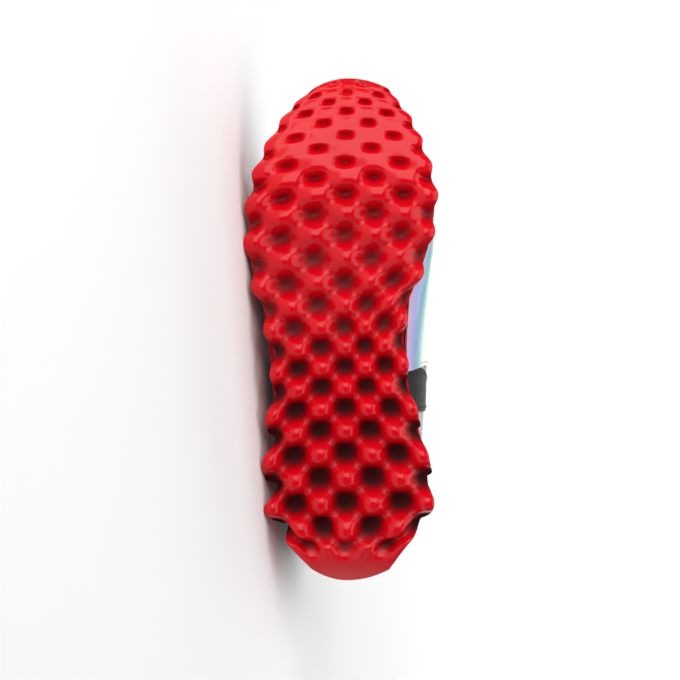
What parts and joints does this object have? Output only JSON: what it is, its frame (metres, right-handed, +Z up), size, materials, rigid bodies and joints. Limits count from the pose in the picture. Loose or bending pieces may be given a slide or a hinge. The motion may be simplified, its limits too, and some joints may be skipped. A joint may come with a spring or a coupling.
{
  "type": "sneaker",
  "caption": "Low trainer for the right foot with a red rubber sole of rounded studs and deep pits, lying on its lateral side.",
  "frame": {"origin": "on the floor, under the middle of the shoe's bounding box", "axes": "+X towards the heel, -Y out of the sole, +Z up from the floor, which is towards the shoe's medial side"},
  "size_m": [0.2994, 0.1308, 0.1151],
  "materials": {
    "red_rubber": "glossy moulded",
    "white_mesh": "fine white and silver mesh",
    "iridescent_film": "pearly film that shifts from pink to blue and green",
    "black_leather": "matt fine grain",
    "grey_lining": "matt knit",
    "lace_cord": "flat woven",
    "silver_metal": "satin"
  },
  "bodies": {
    "root": {"outsole": "red_rubber", "midsole": "red_rubber", "insole": "grey_lining", "upper": "white_mesh", "heel_counter": "black_leather", "toe_cap": "white_mesh", "eyestay": "white_mesh", "side_panel_lateral": "iridescent_film", "side_panel_medial": "iridescent_film", "tongue": "white_mesh", "eyelet_lateral_1": "silver_metal", "eyelet_lateral_2": "silver_metal", "eyelet_lateral_3": "silver_metal", "eyelet_lateral_4": "silver_metal", "eyelet_lateral_5": "silver_metal", "eyelet_lateral_6": "silver_metal", "eyelet_medial_1": "silver_metal", "eyelet_medial_2": "silver_metal", "eyelet_medial_3": "silver_metal", "eyelet_medial_4": "silver_metal", "eyelet_medial_5": "silver_metal", "eyelet_medial_6": "silver_metal", "lace_bar_1": "lace_cord", "lace_bar_2": "lace_cord", "lace_bar_3": "lace_cord", "lace_bar_4": "lace_cord", "lace_bar_5": "lace_cord", "lace_bar_6": "lace_cord"}
  },
  "joints": []
}
